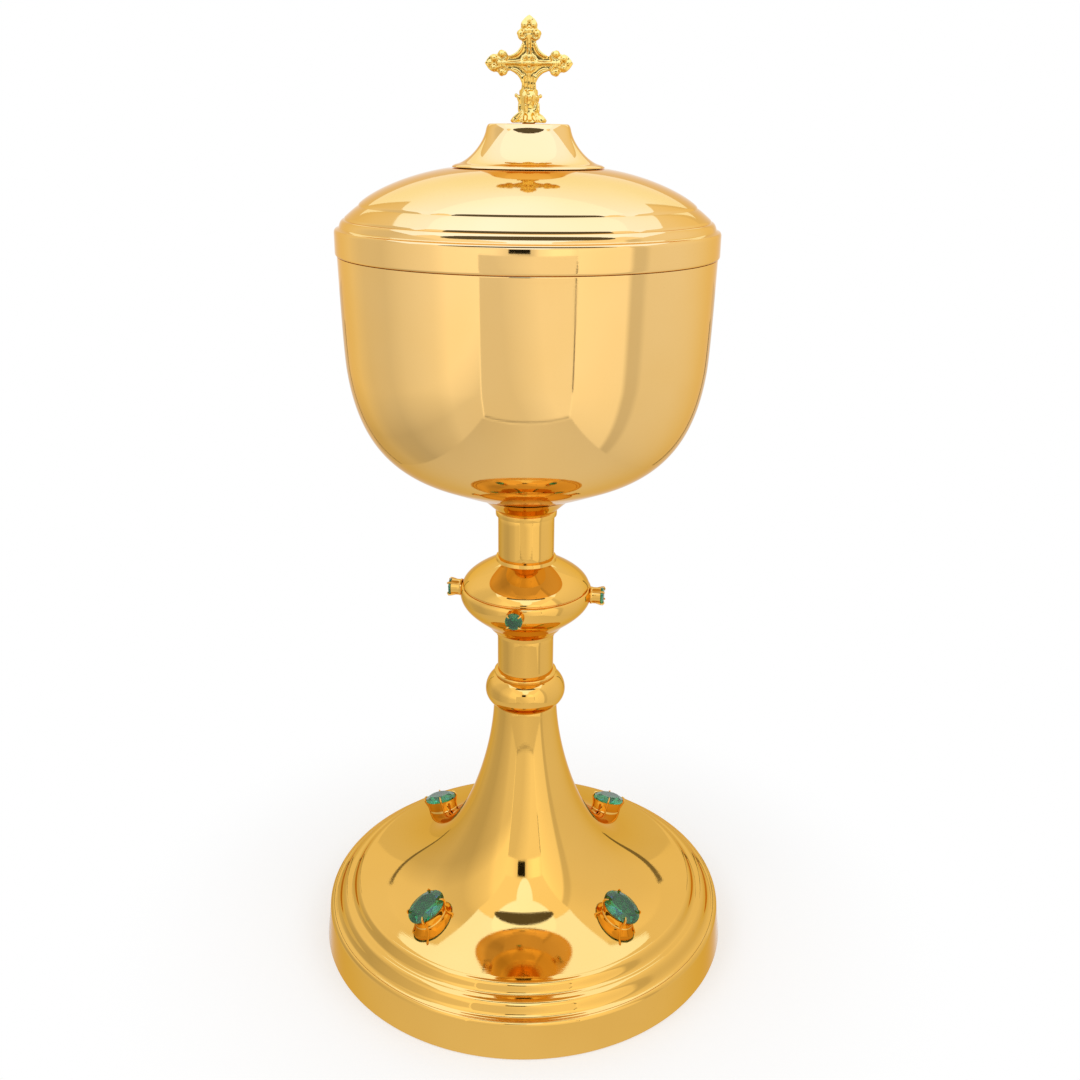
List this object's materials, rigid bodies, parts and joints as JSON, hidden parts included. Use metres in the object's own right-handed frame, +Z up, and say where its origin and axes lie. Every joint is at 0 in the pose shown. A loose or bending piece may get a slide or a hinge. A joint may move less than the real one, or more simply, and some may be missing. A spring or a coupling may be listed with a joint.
{
  "type": "ciborium",
  "caption": "Gilt lidded bowl on a turned stem with a jewelled knop and a wide spun foot; a cast cross tops the lift-off lid.",
  "frame": {"origin": "centre of the foot's underside, where it rests on the table", "axes": "+Z up along the stem, -Y towards the viewer of the cross's face, +X to that viewer's right"},
  "size_m": [0.158, 0.158, 0.3351],
  "materials": {
    "polished_gold": "mirror-polished gilt brass",
    "plain_brass": "plain turned brass",
    "green_stone": "cut and polished green glass"
  },
  "bodies": {
    "stand": {"foot_band": "polished_gold", "foot_shell": "polished_gold", "stem_ring": "polished_gold", "lower_tube": "polished_gold", "knop_lower": "polished_gold", "knop_upper": "polished_gold", "upper_tube": "polished_gold", "bowl_collar": "polished_gold", "bowl": "polished_gold", "foot_gem_setting_1": "polished_gold", "foot_gem_setting_2": "polished_gold", "foot_gem_setting_3": "polished_gold", "foot_gem_setting_4": "polished_gold", "knop_gem_setting_1": "polished_gold", "knop_gem_setting_2": "polished_gold", "knop_gem_setting_3": "polished_gold", "knop_gem_setting_4": "polished_gold", "bowl_stud": "plain_brass", "tie_rod": "plain_brass", "tie_washer": "plain_brass", "tie_nut": "plain_brass", "foot_gem_1": "green_stone", "foot_gem_2": "green_stone", "foot_gem_3": "green_stone", "foot_gem_4": "green_stone", "knop_gem_1": "green_stone", "knop_gem_2": "green_stone", "knop_gem_3": "green_stone", "knop_gem_4": "green_stone"},
    "lid": {"lid_shell": "polished_gold", "lid_flange": "polished_gold", "lid_boss": "polished_gold", "cross": "polished_gold", "cross_washer": "plain_brass", "cross_nut": "plain_brass"}
  },
  "joints": [
    {"name": "lid_lift", "type": "slide", "parent": "stand", "child": "lid", "axis": [0, 0, 1], "range_m": [0, 0.08]}
  ]
}
